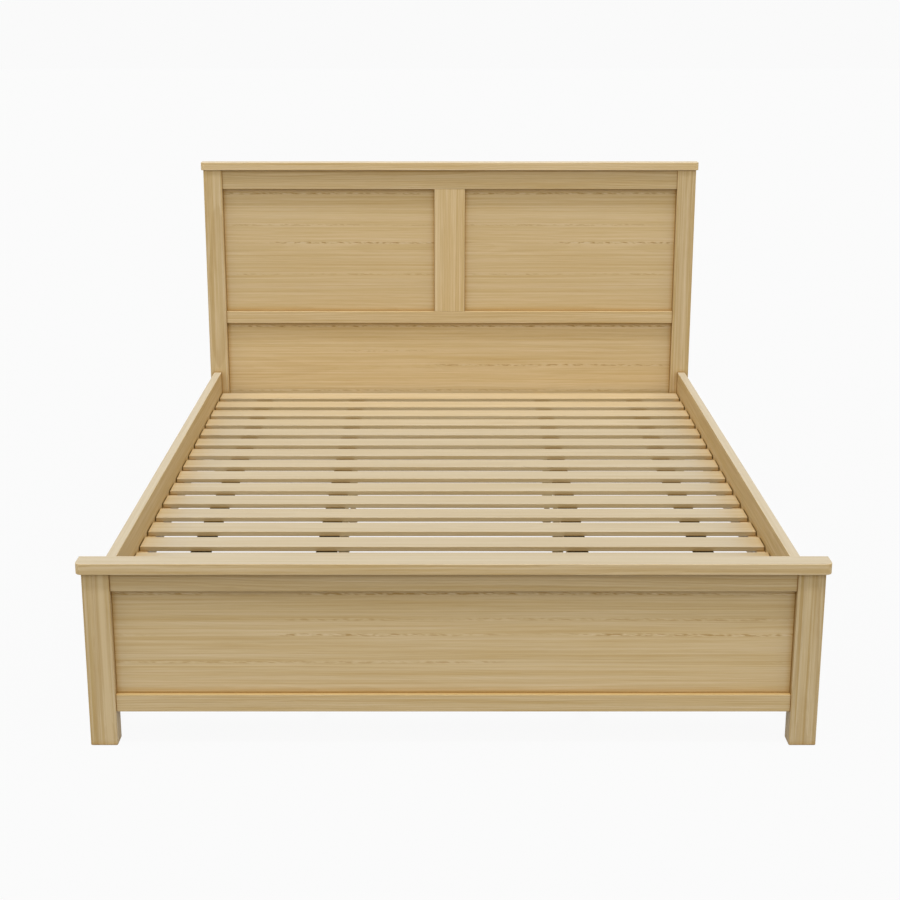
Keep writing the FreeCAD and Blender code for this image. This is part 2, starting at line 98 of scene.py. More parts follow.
# Noise patterns: waves a metre along, across and through the timber, then detail and roughness
DRIFT = ((1.1, 5.0, 5.0), 2.0)
RIPPLE = ((26.0, 70.0, 70.0), 2.0)
YEARS = ((1.0, 0.37, 1.0), 1.0)
STRONG_YEARS = ((0.73, 1.0, 1.0), 0.0)
STREAKS = ((1.1, 60.0, 60.0), 5.0, 0.88)
FIBRES = ((7.0, 620.0, 620.0), 3.0, 0.6)
BANDS = ((0.5, 11.0, 11.0), 1.0)
SAPWOOD_WANDER = ((3.0, 0.0, 0.0), 1.0)
FIGURE_SWAY = ((2.2, 0.0, 0.0), 1.0)
FIGURE_RUNS = ((1.7, 9.0, 0.0), 1.0)
FIGURE_DASHES = ((62.0, 300.0, 300.0), 1.5)
# The same for webbing, metal and nylon, along the bed's own axes
FUZZ = ((900.0, 900.0, 900.0), 2.0)
SCUFFS = ((30.0, 9.0, 30.0), 3.0)
CLOUDS = ((140.0, 140.0, 140.0), 3.0)
GRIT = ((1800.0, 1800.0, 1800.0), 2.0)

RING_WIDTH = 4.2 * MM
DRIFT_REACH = 30.0 * MM
RIPPLE_REACH = 2.2 * MM
TREE_TAPER = 0.004                  # how much a place along the tree counts in a ring's radius
YEARS_REACH = 2.4                   # rings by which wide and narrow years shift the count
STREAK_GAIN = 3.4
# Ranges of a value, and where four numbers stand, the range that they become
LATEWOOD_RISE = (0.15, 0.82)
LATEWOOD_FALL = (0.86, 1.0)
YEAR_STRENGTH = (0.25, 0.75, 0.3, 1.0)
BAND_TONE = (0.3, 0.7, -0.03, 0.03)
FIBRE_TONE = (0.2, 0.8, -0.05, 0.05)
PINE_ROUGHNESS = (0.50, 0.42)       # of earlywood and latewood
PINE_SPECULAR = 0.15
PINE_BUMP = (0.12 * MM, 0.5)        # height and strength
LATEWOOD_HEIGHT = 0.6
SHADE_SPREAD = (0.985, 1.015)       # how far the pieces differ in tone
TREE_PLACES = (2.0, 40.0)           # each piece comes from its own place along the noise
SAPWOOD_WIDTH = (4.0 * MM, 8.0 * MM)
SAPWOOD_WANDER_REACH = 10.0 * MM
TOP_SHEEN_FADE = 90.0 * MM            # a slat's painted top sheen fades over this length at each end
UPWARD = (0.55, 0.95)               # the normal's z where a face starts to look up, and where it does

STAVE_SHIFT = 7.0                   # the staves are up to this far apart along their trees
GLUE_LINE_WIDTH = 1.6 * MM
GLUE_LINE_STRENGTH = 0.6
FIGURE_BREADTH = 5.0 * MM
FIGURE_SWAY_REACH = 7.0 * MM
FIGURE_SLANT = 2.5
FIGURE_SHOWS = (0.38, 0.50)
DARK_DASHES = (0.50, 0.62)
PALE_DASHES = (0.50, 0.38)

# Painted shade where other wood is near: how far it counts, and the openness at which the painted shade
# is full and gone
CORNER_REACH = 15.0 * MM
CORNER_OPENNESS = (0.50, 0.98)
JOINT_REACH = 3.0 * MM
JOINT_OPENNESS = (0.69, 0.92)
JOINT_STRENGTH = 0.75
OPENNESS_SAMPLES = 8

THREAD_WIDTH = 2.2 * MM
THREAD_ROUND = 0.6                  # shares of the weave's height
THREAD_OVER = 0.25
THREAD_FUZZ = 0.3
SCUFFED = (0.45, 0.75)
WEBBING_ROUGHNESS = (0.85, 0.62)    # of the hollows and the tops of the threads
WEBBING_BUMP = (0.5 * MM, 0.8)
CLOUDED = (0.35, 0.7)
GRIT_ROUGHNESS = 0.06
MOTTLE_BUMP_STRENGTH = 0.5

# Which way the timber runs: the axes along, across and through each piece
CROSSWISE_BOARD = ("x", "z", "y")
CROSSWISE_FLAT = ("x", "y", "z")
UPRIGHT = ("z", "x", "y")
LENGTHWISE_BOARD = ("y", "z", "x")
LENGTHWISE_FLAT = ("y", "x", "z")


# ---- Node helpers -------------------------------------------------------------------------

# The Mix node's sockets for colours, which share their names with those for numbers and vectors
MIX_FIRST, MIX_SECOND, MIX_RESULT = 6, 7, 2


def feed(tree, socket, value):
    """Links a socket to another one, or sets its value."""
    if isinstance(value, bpy.types.NodeSocket):
        tree.links.new(value, socket)
    else:
        socket.default_value = value


def maths(tree, operation, *values, clamp=False):
    """A Math node's result."""
    node = tree.nodes.new("ShaderNodeMath")
    node.operation = operation
    node.use_clamp = clamp
    for socket, value in zip(node.inputs, values):
        feed(tree, socket, value)
    return node.outputs[0]


def vector_maths(tree, operation, *values):
    """A Vector Math node's vector."""
    node = tree.nodes.new("ShaderNodeVectorMath")
    node.operation = operation
    for socket, value in zip(node.inputs, values):
        feed(tree, socket, value)
    return node.outputs[0]


def scaled(tree, vector, factor):
    """A vector or colour times a number."""
    node = tree.nodes.new("ShaderNodeVectorMath")
    node.operation = "SCALE"
    feed(tree, node.inputs[0], vector)
    feed(tree, node.inputs["Scale"], factor)
    return node.outputs[0]


def length(tree, vector):
    """The length of a vector."""
    node = tree.nodes.new("ShaderNodeVectorMath")
    node.operation = "LENGTH"
    feed(tree, node.inputs[0], vector)
    return node.outputs["Value"]


def openness(tree, distance):
    """1 on an open surface, and less where another surface is within a distance."""
    node = tree.nodes.new("ShaderNodeAmbientOcclusion")
    node.samples = OPENNESS_SAMPLES
    node.inputs["Distance"].default_value = distance
    return node.outputs["AO"]


def noise(tree, place, stretch, detail=2.0, roughness=0.5):
    """Noise on a stretched place, from 0 to 1."""
    node = tree.nodes.new("ShaderNodeTexNoise")
    node.inputs["Scale"].default_value = 1.0
    node.inputs["Detail"].default_value = detail
    node.inputs["Roughness"].default_value = roughness
    tree.links.new(vector_maths(tree, "MULTIPLY", place, stretch), node.inputs["Vector"])
    return node.outputs["Fac"]


def swing(tree, place, pattern, reach):
    """A noise pattern that swings both ways round zero."""
    return maths(tree, "MULTIPLY", maths(tree, "SUBTRACT", noise(tree, place, *pattern), 0.5), reach)


def remap(tree, value, low, high, to_low=0.0, to_high=1.0, smooth=True):
    """A value mapped from one range to another, and kept inside it."""
    node = tree.nodes.new("ShaderNodeMapRange")
    node.interpolation_type = "SMOOTHSTEP" if smooth else "LINEAR"
    for socket, number in zip(node.inputs, (value, low, high, to_low, to_high)):
        feed(tree, socket, number)
    return node.outputs[0]


def blend_colours(tree, factor, first, second, mode="MIX"):
    """Two colours mixed by a factor."""
    node = tree.nodes.new("ShaderNodeMix")
    node.data_type = "RGBA"
    node.blend_type = mode
    feed(tree, node.inputs["Factor"], factor)
    feed(tree, node.inputs[MIX_FIRST], first)
    feed(tree, node.inputs[MIX_SECOND], second)
    return node.outputs[MIX_RESULT]


def split(tree, vector):
    """The three parts of a vector."""
    node = tree.nodes.new("ShaderNodeSeparateXYZ")
    feed(tree, node.inputs[0], vector)
    return node.outputs


def join(tree, x, y, z):
    """A vector from its three parts."""
    node = tree.nodes.new("ShaderNodeCombineXYZ")
    for socket, value in zip(node.inputs, (x, y, z)):
        feed(tree, socket, value)
    return node.outputs[0]


def new_group(name, inputs, outputs):
    """An empty shader node group with its inputs and outputs."""
    tree = bpy.data.node_groups.new(name, "ShaderNodeTree")
    for label, kind, default in inputs:
        socket = tree.interface.new_socket(label, in_out="INPUT", socket_type="NodeSocket" + kind)
        socket.default_value = default
    for label, kind in outputs:
        tree.interface.new_socket(label, in_out="OUTPUT", socket_type="NodeSocket" + kind)
    return tree, tree.nodes.new("NodeGroupInput").outputs, tree.nodes.new("NodeGroupOutput").inputs


def use_group(tree, group, **inputs):
    """A group placed in a material with its own values."""
    node = tree.nodes.new("ShaderNodeGroup")
    node.node_tree = group
    for label, value in inputs.items():
        feed(tree, node.inputs[label.replace("_", " ")], value)
    return node.outputs


# ---- Node groups --------------------------------------------------------------------------

def staves_group():
    """Wraps the place into glued staves, each from another tree."""
    tree, given, result = new_group(
        "Glued staves",
        [("Place", "Vector", (0, 0, 0)), ("Width", "Float", 0.2), ("First joint", "Float", 0.0)],
        [("Place", "Vector"), ("Joint", "Float")])
    along, across, depth = split(tree, given["Place"])
    count = maths(tree, "DIVIDE", maths(tree, "SUBTRACT", across, given["First joint"]), given["Width"])
    stave = maths(tree, "FLOOR", count)
    part = maths(tree, "SUBTRACT", count, stave)
    white = tree.nodes.new("ShaderNodeTexWhiteNoise")
    white.noise_dimensions = "1D"
    tree.links.new(stave, white.inputs["W"])
    inner = maths(tree, "MULTIPLY", maths(tree, "SUBTRACT", part, 0.5), given["Width"])
    shift = maths(tree, "MULTIPLY", white.outputs["Value"], STAVE_SHIFT)
    shifted = maths(tree, "ADD", along, shift)
    tree.links.new(join(tree, shifted, inner, depth), result["Place"])
    edge = maths(tree, "MULTIPLY", maths(tree, "MINIMUM", part, maths(tree, "SUBTRACT", 1.0, part)),
                 given["Width"])
    tree.links.new(remap(tree, edge, 0.0, GLUE_LINE_WIDTH, 1.0, 0.0), result["Joint"])
    return tree


def pine_group():
    """Solid pine: growth rings round a heart, streaks and fibres along it, and slow changes of tone."""
    tree, given, result = new_group(
        "Pine",
        [("Place", "Vector", (0, 0, 0)), ("Heart", "Vector", (0, 0, 0)),
         ("Ring width", "Float", RING_WIDTH), ("Rings", "Float", 0.5), ("Streaks", "Float", 1.0),
         ("Shade", "Float", 1.0), ("Fineness", "Float", 1.0)],
        [("Colour", "Color"), ("Roughness", "Float"), ("Height", "Float")])
    place = given["Place"]
    # The rings lean and drift slowly along the tree, and ripple a little
    from_heart = vector_maths(tree, "SUBTRACT", place, given["Heart"])
    radius = length(tree, vector_maths(tree, "MULTIPLY", from_heart, (TREE_TAPER, 1.0, 1.0)))
    radius = maths(tree, "ADD", radius, swing(tree, place, DRIFT, DRIFT_REACH))
    radius = maths(tree, "ADD", radius, swing(tree, place, RIPPLE, RIPPLE_REACH))
    rings = maths(tree, "DIVIDE", radius, given["Ring width"])
    years = noise(tree, join(tree, 0.0, rings, 0.0), *YEARS)
    rings = maths(tree, "ADD", rings, maths(tree, "MULTIPLY", years, YEARS_REACH))
    # Each ring darkens slowly to its latewood and then ends at once, some years more than others
    season = maths(tree, "FRACT", rings)
    latewood = maths(tree, "MULTIPLY", remap(tree, season, *LATEWOOD_RISE),
                     remap(tree, season, *LATEWOOD_FALL, 1.0, 0.0))
    strong_year = noise(tree, join(tree, maths(tree, "FLOOR", rings), 0.0, 0.0), *STRONG_YEARS)
    latewood = maths(tree, "MULTIPLY", latewood, remap(tree, strong_year, *YEAR_STRENGTH))
    # Streaks of every width, from broad bands to single fibres
    fineness = join(tree, 1.0, given["Fineness"], given["Fineness"])
    warmth = swing(tree, vector_maths(tree, "MULTIPLY", place, fineness), STREAKS, STREAK_GAIN)
    warmth = maths(tree, "MULTIPLY", warmth, given["Streaks"])
    warmth = maths(tree, "ADD", warmth, 0.5, clamp=True)
    colour = blend_colours(tree, warmth, PALE_WOOD, WARM_WOOD)
    colour = blend_colours(tree, maths(tree, "MULTIPLY", latewood, given["Rings"]), colour, LATEWOOD)
    fibre = noise(tree, place, *FIBRES)
    band = noise(tree, place, *BANDS)
    level = maths(tree, "ADD", remap(tree, band, *BAND_TONE, smooth=False),
                  remap(tree, fibre, *FIBRE_TONE, smooth=False))
    level = maths(tree, "ADD", level, given["Shade"])
    tree.links.new(scaled(tree, colour, level), result["Colour"])
    tree.links.new(remap(tree, latewood, 0.0, 1.0, *PINE_ROUGHNESS, smooth=False), result["Roughness"])
    ridges = maths(tree, "MULTIPLY", latewood, LATEWOOD_HEIGHT)
    tree.links.new(maths(tree, "ADD", ridges, fibre), result["Height"])
    return tree


def figure_group():
    """A thin run of short slanting figure along a panel, at one height."""
    tree, given, result = new_group(
        "Figured run",
        [("Place", "Vector", (0, 0, 0)), ("Height", "Float", 0.0), ("Breadth", "Float", FIGURE_BREADTH)],
        [("Dark", "Float"), ("Pale", "Float")])
    along, across, depth = split(tree, given["Place"])
    offset = maths(tree, "SUBTRACT", across, given["Height"])
    offset = maths(tree, "ADD", offset, swing(tree, given["Place"], FIGURE_SWAY, FIGURE_SWAY_REACH))
    near = remap(tree, maths(tree, "ABSOLUTE", offset), 0.0, given["Breadth"], 1.0, 0.0)
    runs = remap(tree, noise(tree, given["Place"], *FIGURE_RUNS), *FIGURE_SHOWS)
    near = maths(tree, "MULTIPLY", near, runs)
    slanted = maths(tree, "ADD", along, maths(tree, "MULTIPLY", across, FIGURE_SLANT))
    dashes = noise(tree, join(tree, slanted, across, depth), *FIGURE_DASHES)
    for output, limits in (("Dark", DARK_DASHES), ("Pale", PALE_DASHES)):
        share = maths(tree, "MULTIPLY", near, remap(tree, dashes, *limits))
        tree.links.new(share, result[output])
    return tree


def corner_shade_group():
    """Painted shade: wood that darkens into the corners between pieces, with a dark painted shadow line
    in each joint.
    """
    tree, given, result = new_group(
        "Painted corner shade", [("Colour", "Color", WHITE), ("Depth", "Float", 1.0)],
        [("Colour", "Color")])
    near = remap(tree, openness(tree, CORNER_REACH), *CORNER_OPENNESS, 1.0, 0.0, smooth=False)
    near = maths(tree, "MULTIPLY", near, given["Depth"])
    shaded = blend_colours(tree, near, given["Colour"], PAINTED_CORNER_SHADE, "MULTIPLY")
    touching = remap(tree, openness(tree, JOINT_REACH), *JOINT_OPENNESS, 1.0, 0.0, smooth=False)
    line = maths(tree, "MULTIPLY", touching, given["Depth"])
    line = maths(tree, "MULTIPLY", line, JOINT_STRENGTH)
    tree.links.new(blend_colours(tree, line, shaded, PAINTED_JOINT_SHADOW), result["Colour"])
    return tree


def weave_group():
    """A plain weave of flat threads: its height and the share of worn yarn."""
    tree, given, result = new_group(
        "Webbing weave",
        [("Place", "Vector", (0, 0, 0)), ("Thread", "Float", THREAD_WIDTH)],
        [("Height", "Float"), ("Worn", "Float"), ("Roughness", "Float")])
    turns = maths(tree, "DIVIDE", math.pi, given["Thread"])
    across, along, _ = split(tree, scaled(tree, given["Place"], turns))
    warp = maths(tree, "ABSOLUTE", maths(tree, "SINE", across))
    weft = maths(tree, "ABSOLUTE", maths(tree, "SINE", along))
    over = maths(tree, "MULTIPLY", maths(tree, "SINE", across), maths(tree, "SINE", along))
    threads = maths(tree, "MULTIPLY", maths(tree, "MULTIPLY", warp, weft), THREAD_ROUND)
    height = maths(tree, "ADD", threads, maths(tree, "MULTIPLY", over, THREAD_OVER))
    fuzz = noise(tree, given["Place"], *FUZZ)
    fuzz = maths(tree, "MULTIPLY", fuzz, THREAD_FUZZ)
    tree.links.new(maths(tree, "ADD", height, fuzz), result["Height"])
    scuff = noise(tree, given["Place"], *SCUFFS)
    tree.links.new(maths(tree, "MULTIPLY", remap(tree, scuff, *SCUFFED), height), result["Worn"])
    tree.links.new(remap(tree, height, 0.0, 1.0, *WEBBING_ROUGHNESS), result["Roughness"])
    return tree


def mottle_group():
    """Slow mottling and fine grit of moulded or plated surfaces."""
    tree, given, result = new_group(
        "Mottle",
        [("Place", "Vector", (0, 0, 0)), ("Colour", "Color", WHITE),
         ("Dull colour", "Color", (0.5, 0.5, 0.5, 1)), ("Smooth", "Float", 0.3),
         ("Rough", "Float", 0.5)],
        [("Colour", "Color"), ("Roughness", "Float"), ("Height", "Float")])
    cloud = noise(tree, given["Place"], *CLOUDS)
    grit = noise(tree, given["Place"], *GRIT)
    amount = remap(tree, cloud, *CLOUDED)
    tree.links.new(blend_colours(tree, amount, given["Colour"], given["Dull colour"]), result["Colour"])
    roughness = remap(tree, amount, 0.0, 1.0, given["Smooth"], given["Rough"])
    grittiness = remap(tree, grit, 0.0, 1.0, -GRIT_ROUGHNESS, GRIT_ROUGHNESS)
    tree.links.new(maths(tree, "ADD", roughness, grittiness), result["Roughness"])
    tree.links.new(grit, result["Height"])
    return tree


STAVES = staves_group()
PINE = pine_group()
FIGURE = figure_group()
CORNER_SHADE = corner_shade_group()
WEAVE = weave_group()
MOTTLE = mottle_group()


# ---- Materials ----------------------------------------------------------------------------

def new_material(name):
    """A material with its node tree and its Principled shader."""
    material = bpy.data.materials.new(name)
    material.use_nodes = True
    tree = material.node_tree
    return material, tree, tree.nodes["Principled BSDF"]


def place_in_metres(tree):
    """The surface's place in the bed's frame."""
    return tree.nodes.new("ShaderNodeTexCoord").outputs["Object"]


def bump(tree, height, distance, strength):
    """A normal from a height."""
    node = tree.nodes.new("ShaderNodeBump")
    node.inputs["Distance"].default_value = distance
    node.inputs["Strength"].default_value = strength
    tree.links.new(height, node.inputs["Height"])
    return node.outputs["Normal"]


def upward_faces(tree):
    """1 on faces that look up."""
    normal = tree.nodes.new("ShaderNodeNewGeometry").outputs["Normal"]
    return remap(tree, split(tree, normal)[2], *UPWARD)


def pine_material(name, run, centre, heart, rings=0.4, streaks=1.0, shade=1.0, staves=None,
                  figures=(), top=PAINTED_TOP_SHEEN, bleach=0.0, ends=None, fineness=1.0, sapwood=None):
    """Pine whose grain runs along a piece.

    The heart is given across and through the piece, staves as their width and first joint, figures
    as heights and strengths, ends as half the piece's length, and sapwood as its middle and strength.
    """
    material, tree, shader = new_material("pine_" + name)
    draw = random.Random(name)
    x, y, z = split(tree, vector_maths(tree, "SUBTRACT", place_in_metres(tree), tuple(centre)))
    axes = {"x": x, "y": y, "z": z}
    along, across, through = (axes[axis] for axis in run)
    far_along = maths(tree, "ADD", along, draw.uniform(*TREE_PLACES))
    place = unwrapped = join(tree, far_along, across, through)
    joint = None
    if staves:
        wrapped = use_group(tree, STAVES, Place=place, Width=staves[0], First_joint=staves[1])
        place, joint = wrapped["Place"], wrapped["Joint"]
    wood = use_group(tree, PINE, Place=place, Heart=(0.0, heart[0], heart[1]), Rings=rings,
                     Streaks=streaks, Fineness=fineness, Shade=shade * draw.uniform(*SHADE_SPREAD))
    colour = wood["Colour"]
    for height, strength in figures:
        figure = use_group(tree, FIGURE, Place=unwrapped, Height=height)
        colour = blend_colours(tree, maths(tree, "MULTIPLY", figure["Dark"], strength), colour, LATEWOOD)
        colour = blend_colours(tree, maths(tree, "MULTIPLY", figure["Pale"], strength), colour, PALE_WOOD)
    if joint:
        joint = maths(tree, "MULTIPLY", joint, GLUE_LINE_STRENGTH)
        colour = blend_colours(tree, joint, colour, GLUE_LINE)
    if sapwood:
        middle, strength = sapwood
        wander = swing(tree, place, SAPWOOD_WANDER, SAPWOOD_WANDER_REACH)
        aside = maths(tree, "SUBTRACT", across, wander)
        aside = maths(tree, "ABSOLUTE", maths(tree, "SUBTRACT", aside, middle))
        band = remap(tree, aside, *SAPWOOD_WIDTH, strength, 0.0)
        colour = blend_colours(tree, band, colour, SAPWOOD)
    # Upward faces are mixed towards a painted top colour: a pale painted sheen on tops, or darker painted
    # shade on ledges; on slats the sheen fades out towards their ends
    upward = maths(tree, "MULTIPLY", upward_faces(tree), bleach)
    if ends:
        from_middle = maths(tree, "ABSOLUTE", along)
        inside = remap(tree, from_middle, ends - TOP_SHEEN_FADE, ends, 1.0, 0.0)
        upward = maths(tree, "MULTIPLY", upward, inside)
    colour = blend_colours(tree, upward, colour, top)
    # Painted shade in the corners and joints, where other wood is near
    colour = use_group(tree, CORNER_SHADE, Colour=colour)["Colour"]
    tree.links.new(colour, shader.inputs["Base Color"])
    tree.links.new(wood["Roughness"], shader.inputs["Roughness"])
    shader.inputs["Specular IOR Level"].default_value = PINE_SPECULAR
    tree.links.new(bump(tree, wood["Height"], *PINE_BUMP), shader.inputs["Normal"])
    return material


def webbing_material():
    """Black woven webbing."""
    material, tree, shader = new_material("black_webbing")
    weave = use_group(tree, WEAVE, Place=place_in_metres(tree), Thread=THREAD_WIDTH)
    tree.links.new(blend_colours(tree, weave["Worn"], WEBBING_BLACK, WEBBING_WORN),
                   shader.inputs["Base Color"])
    tree.links.new(weave["Roughness"], shader.inputs["Roughness"])
    shader.inputs["Specular IOR Level"].default_value = MATTE
    tree.links.new(bump(tree, weave["Height"], *WEBBING_BUMP), shader.inputs["Normal"])
    return material


def mottled_material(name, colour, dull, smooth, rough, metallic, height):
    """A moulded or plated surface, with grit of a given height."""
    material, tree, shader = new_material(name)
    mottle = use_group(tree, MOTTLE, Place=place_in_metres(tree), Colour=colour, Dull_colour=dull,
                       Smooth=smooth, Rough=rough)
    tree.links.new(mottle["Colour"], shader.inputs["Base Color"])
    tree.links.new(mottle["Roughness"], shader.inputs["Roughness"])
    shader.inputs["Metallic"].default_value = metallic
    normal = bump(tree, mottle["Height"], height, MOTTLE_BUMP_STRENGTH)
    tree.links.new(normal, shader.inputs["Normal"])
    return material


# ---- Dressing the timber ------------------------------------------------------------------

# A panel's figured runs: share of its height, shift, and strength
PANEL_FIGURES = ((0.47, -10.0 * MM, 1.0), (0.20, 0.0, 0.5), (0.06, 0.0, 1.0), (-0.19, 0.0, 0.5))
PANEL_STAVES = (0.5, 0.28)          # a stave's width and the first joint, as shares of the height
SLAT_TOP_SHEEN = (0.04, 0.10, 0.42)    # the first slat's painted top sheen, the rise with each slat, and the most
HEART_SHARE = 0.4                   # how many of the slats are cut near the heart of a tree
ARCHED_HEART = ((-0.02, 0.02), (-0.07, -0.04))      # where it lies then, across and in depth
HEART_ASIDE = (0.8, 1.3)            # how the hearts' distances vary, aside and in depth
HEART_DEPTH = (0.7, 1.3)


def nodes_named(start):
    """The names of the pieces that begin with a word, in order."""
    return sorted(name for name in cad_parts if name.startswith(start))


def dress(node, material):
    """Gives a piece its material."""
    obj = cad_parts[node]
    obj.data.materials.clear()
    obj.data.materials.append(material)


def dress_timber(node, run, heart, **finish):
    """Gives a timber piece pine whose grain runs along it."""
    low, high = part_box(node)
    dress(node, pine_material(node, run, (low + high) / 2, heart, **finish))


def heart_beside(node, distance, depth):
    """A heart well to one side, for straight grain, near a distance and a depth in metres."""
    draw = random.Random("heart of " + node)
    side = draw.choice((-1.0, 1.0))
    return (side * draw.uniform(*HEART_ASIDE) * distance, draw.uniform(*HEART_DEPTH) * depth)


def dress_panel(node, shade):
    """Gives a panel two staves and a bit, with their joints as high as the panel's size asks."""
    low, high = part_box(node)
    height = high.z - low.z
    figures = [(share * height + shift, strength) for share, shift, strength in PANEL_FIGURES]
    dress_timber(node, CROSSWISE_BOARD, (0.0, 0.030), rings=0.18, streaks=0.9, shade=shade,
                 fineness=2.4, staves=[share * height for share in PANEL_STAVES], figures=figures)


def dress_slats():
    """Some slats are cut near the heart, and show arched figure; the tops are paler from the foot on, as
    a painted sheen.
    """
    first, rise, most = SLAT_TOP_SHEEN
    for index, node in enumerate(nodes_named("slat_")):
        bleach = min(most, first + rise * index)
        low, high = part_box(node)
        half = (high.x - low.x) / 2
        draw = random.Random("cut of " + node)
        if draw.random() < HEART_SHARE:
            heart = tuple(draw.uniform(*limits) for limits in ARCHED_HEART)
        else:
            heart = heart_beside(node, 0.10, -0.06)
        dress_timber(node, CROSSWISE_FLAT, heart, rings=0.30, streaks=0.8, bleach=bleach, ends=half,
                     shade=0.94)


def dress_posts():
    """The posts are cut flat, with a pale middle that wanders between darker lines."""
    # Each post with its heart, shade and the strength of its pale middle; the head posts' lighter shade
    # is partly painted light, brighter at the head
    for node, heart, shade, pale in (("footboard_post_left", (0.012, 0.020), 0.95, 0.8),
                                     ("footboard_post_right", (-0.006, 0.024), 0.88, 0.3),
                                     ("headboard_post_left", (0.010, 0.026), 1.03, 0.3),
                                     ("headboard_post_right", (-0.008, 0.022), 1.02, 0.3)):
        dress_timber(node, UPRIGHT, heart, rings=0.5, streaks=1.7, shade=shade, fineness=2.3,
                     sapwood=(heart[0], pale))


def dress_all_timber():
    """All the wooden pieces."""
    dress_panel("footboard_panel", 1.0)
    # The headboard's panels are lighter than the footboard's, partly as painted light, brighter at the
    # head
    for node in ("headboard_upper_panel_right", "headboard_upper_panel_left", "headboard_lower_panel"):
        dress_panel(node, 1.11)
    dress_slats()
    dress_posts()
    # The run, the shade, the painted light or shade of upward faces (a pale painted sheen or a darker
    # painted ledge shade), its strength, and the pieces
    # The shades partly paint light and shade: the headboard's pieces are lighter, painted light where
    # more light falls at the head, and the top rails darker, painted shade under the caps
    straight = [
        (CROSSWISE_BOARD, 0.95, PAINTED_LEDGE_SHADE, 0.5, ["footboard_top_rail"]),
        (CROSSWISE_BOARD, 1.00, PAINTED_LEDGE_SHADE, 0.7, ["footboard_bottom_rail"]),
        (CROSSWISE_BOARD, 0.97, PAINTED_LEDGE_SHADE, 0.5, ["headboard_top_rail"]),
        (CROSSWISE_BOARD, 1.10, PAINTED_LEDGE_SHADE, 0.5, ["headboard_middle_rail", "headboard_bottom_rail",
                                             "cross_battens"]),
        (CROSSWISE_FLAT, 0.99, PAINTED_TOP_SHEEN, 0.47, ["footboard_cap"]),
        (CROSSWISE_FLAT, 1.17, PAINTED_TOP_SHEEN, 0.42, ["headboard_cap"]),
        (UPRIGHT, 1.15, PAINTED_LEDGE_SHADE, 0.0, ["headboard_centre_stile"]),
        (UPRIGHT, 0.95, PAINTED_LEDGE_SHADE, 0.0, nodes_named("centre_leg_")),
        (LENGTHWISE_BOARD, 1.04, PAINTED_TOP_SHEEN, 0.50, ["side_rail_right", "side_rail_left"]),
        (LENGTHWISE_FLAT, 1.0, PAINTED_LEDGE_SHADE, 0.0, ["cleat_right", "cleat_left", "centre_beam_right",
                                            "centre_beam_left"]),
    ]
    for run, shade, top, bleach, nodes in straight:
        for node in nodes:
            dress_timber(node, run, heart_beside(node, 0.09, 0.07), shade=shade, top=top,
                         bleach=bleach, fineness=1.8)


# ---- Mesh helpers -------------------------------------------------------------------------

def new_piece(name, mesh, body, slot, material, *replaced):
    """A piece in the scene, on its body and with its material."""
    obj = bpy.data.objects.new(name, mesh)
    bpy.context.scene.collection.objects.link(obj)
    mesh.materials.append(material)
    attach(obj, body)
    if replaced:
        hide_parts(*replaced)


def finish_mesh(bm, name, smooth=True):
    """A mesh from a bmesh, with its normals outwards."""
    bmesh.ops.recalc_face_normals(bm, faces=bm.faces)
    mesh = bpy.data.meshes.new(name)
    bm.to_mesh(mesh)
    bm.free()
    for polygon in mesh.polygons:
        polygon.use_smooth = smooth
    return mesh


def sweep(bm, rings, open_start=False):
    """A tube through rings of points, with its ends filled, or only its far end."""
    rows = [[bm.verts.new(point) for point in ring] for ring in rings]
    count = len(rows[0])
    for first, second in zip(rows, rows[1:]):
        for index in range(count):
            after = (index + 1) % count
            bm.faces.new((first[index], first[after], second[after], second[index]))
    if not open_start:
        bm.faces.new(rows[0])
    bm.faces.new(rows[-1])
    return rows


def loose_parts(obj):
    """The separate solids of a piece, each as its list of points."""
    bm = bmesh.new()
    bm.from_mesh(obj.data)
    bmesh.ops.remove_doubles(bm, verts=bm.verts, dist=0.001 * MM)
    seen = set()
    parts = []
    for start in bm.verts:
        if start in seen:
            continue
        seen.add(start)
        queue, points = [start], []
        while queue:
            vertex = queue.pop()
            points.append(vertex.co.copy())
            for edge in vertex.link_edges:
                other = edge.other_vert(vertex)
                if other not in seen:
                    seen.add(other)
                    queue.append(other)
        parts.append(points)
    bm.free()
    return parts


# ---- Straps and staples -------------------------------------------------------------------

STRAP_EDGE = 0.5 * MM
STRAP_STEP = 6.0 * MM
STRAP_BOW = 0.7 * MM
STRAP_WANDER = 0.4 * MM
STRAP_WAVES = 9.0                   # radians of the wander in a metre of strap
STAPLE_CROWN = 10.0 * MM
STAPLE_WIRE = (1.2 * MM, 0.5 * MM)
STAPLE_LEG = 6.0 * MM
STAPLE_BEND = 0.8 * MM
BEND_TURNS = (0.0, 45.0, 90.0)      # degrees round a staple's bend
STAPLE_SUNK = 0.35 * MM
STAPLE_SPACING = 26.0 * MM
STAPLE_STRAY = (1.5, 8.0)           # millimetres off its place, across and along the bed


def slat_places():
    """Each slat's front and back along the bed."""
    return sorted((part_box(name)[0].y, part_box(name)[1].y) for name in nodes_named("slat_"))


def strap_bow(y, slats):
    """How far a strap stands off between two slats, from 0 to 1."""
    for (_, back), (front, _) in zip(slats, slats[1:]):
        if back < y < front:
            part = (y - back) / (front - back)
            return math.sin(math.pi * part) ** 2
    return 0.0


def strap_section(middle, half_width, low, high, y):
    """The strap's cross-section at one place along it, with rounded selvedges."""
    points = []
    edge = STRAP_EDGE
    for x, z in ((-half_width + edge, low), (half_width - edge, low), (half_width, low + edge),
                 (half_width, high - edge), (half_width - edge, high), (-half_width + edge, high),
                 (-half_width, high - edge), (-half_width, low + edge)):
        points.append(Vector((middle + x, y, z)))
    return points


